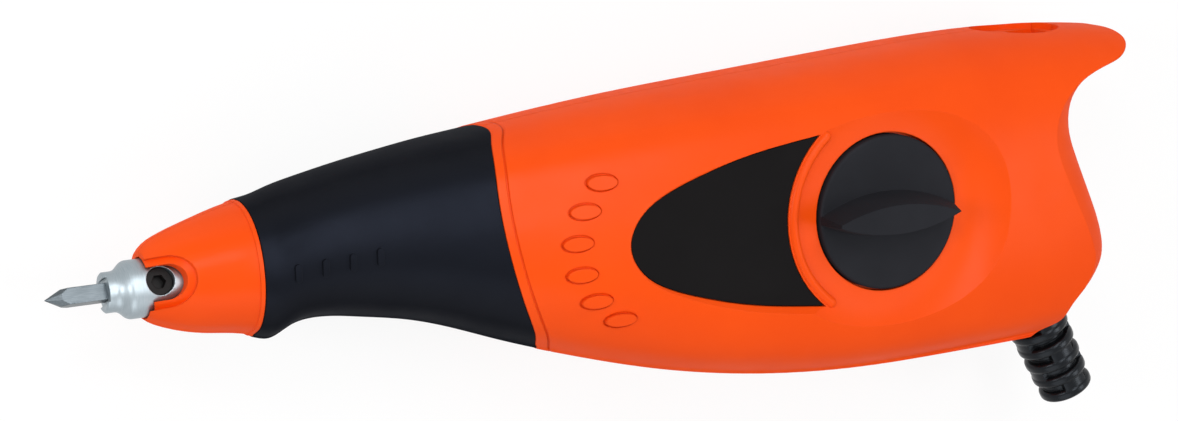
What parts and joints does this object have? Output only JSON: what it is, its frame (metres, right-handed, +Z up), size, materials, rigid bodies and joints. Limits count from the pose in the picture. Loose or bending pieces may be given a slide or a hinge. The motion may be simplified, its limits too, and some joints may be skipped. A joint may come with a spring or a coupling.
{
  "type": "electric engraver",
  "caption": "Hand-held vibrating engraver: a clamshell body with soft grip, stroke dial, slide switch and cord boot, and a sprung plunger that drives a square engraving tip.",
  "frame": {"origin": "point on the flat of the right cheek straight under the dial axis; the tool lies on that flat with the dial up", "axes": "+X along the plunger from the tip to the tail, +Y to the top of the tool, +Z up along the dial axis"},
  "size_m": [0.2, 0.0708, 0.0468],
  "materials": {
    "housing": "satin moulded plastic",
    "grip": "matte soft rubber",
    "panel": "flat black inlay",
    "dial": "matte moulded plastic",
    "chuck": "satin turned metal",
    "tip": "ground steel",
    "set_screw": "black oxide",
    "steel": "ground steel",
    "screws": "zinc plated",
    "core": "varnished electrical steel",
    "bronze": "plain",
    "copper": "enamelled wire",
    "nylon": "natural nylon",
    "switch": "matte black plastic",
    "seal": "soft rubber",
    "boot": "matte flexible plastic"
  },
  "bodies": {
    "housing": {"housing_left": "housing", "housing_right": "housing", "grip_sleeve": "grip", "label_panel": "panel", "housing_screws": "screws", "front_bush": "bronze", "rear_bush": "bronze", "stop_washer": "seal", "magnet_core": "core", "core_screws": "screws", "bobbin_upper": "nylon", "bobbin_lower": "nylon", "winding_upper": "copper", "winding_lower": "copper", "dial_seal": "seal", "switch_body": "switch", "switch_blades": "bronze", "cord_boot": "boot", "cord_clamp": "switch", "clamp_screws": "screws"},
    "plunger": {"engraving_tip": "tip", "tip_chuck": "chuck", "chuck_screw": "set_screw", "plunger_rod": "steel", "stop_collar": "steel", "armature": "core", "armature_nut": "screws"},
    "dial": {"dial_knob": "dial", "dial_camshaft": "nylon", "dial_clip": "steel"},
    "pushrod": {"stroke_pushrod": "nylon", "stroke_spring": "steel"},
    "slider": {"switch_button": "housing"}
  },
  "joints": [
    {"name": "plunger_slide", "type": "slide", "parent": "housing", "child": "plunger", "axis": [1, 0, 0], "range_m": [0, 0.0015], "stiffness_N_per_m": 1500, "springref_m": -0.002},
    {"name": "dial_turn", "type": "hinge", "parent": "housing", "child": "dial", "pos_m": [0, 0, 0.0204], "axis": [0, 0, 1], "range_deg": [-120, 120]},
    {"name": "pushrod_slide", "type": "slide", "parent": "housing", "child": "pushrod", "axis": [-1, 0, 0], "range_m": [-0.0012, 0.0012], "deforming": ["stroke_spring"]},
    {"name": "switch_slide", "type": "slide", "parent": "housing", "child": "slider", "axis": [1, 0, 0], "range_m": [0, 0.004]}
  ],
  "couplings": [
    {"joint": "dial_turn", "follows": "pushrod_slide", "rad_per_m": 1745.3}
  ]
}
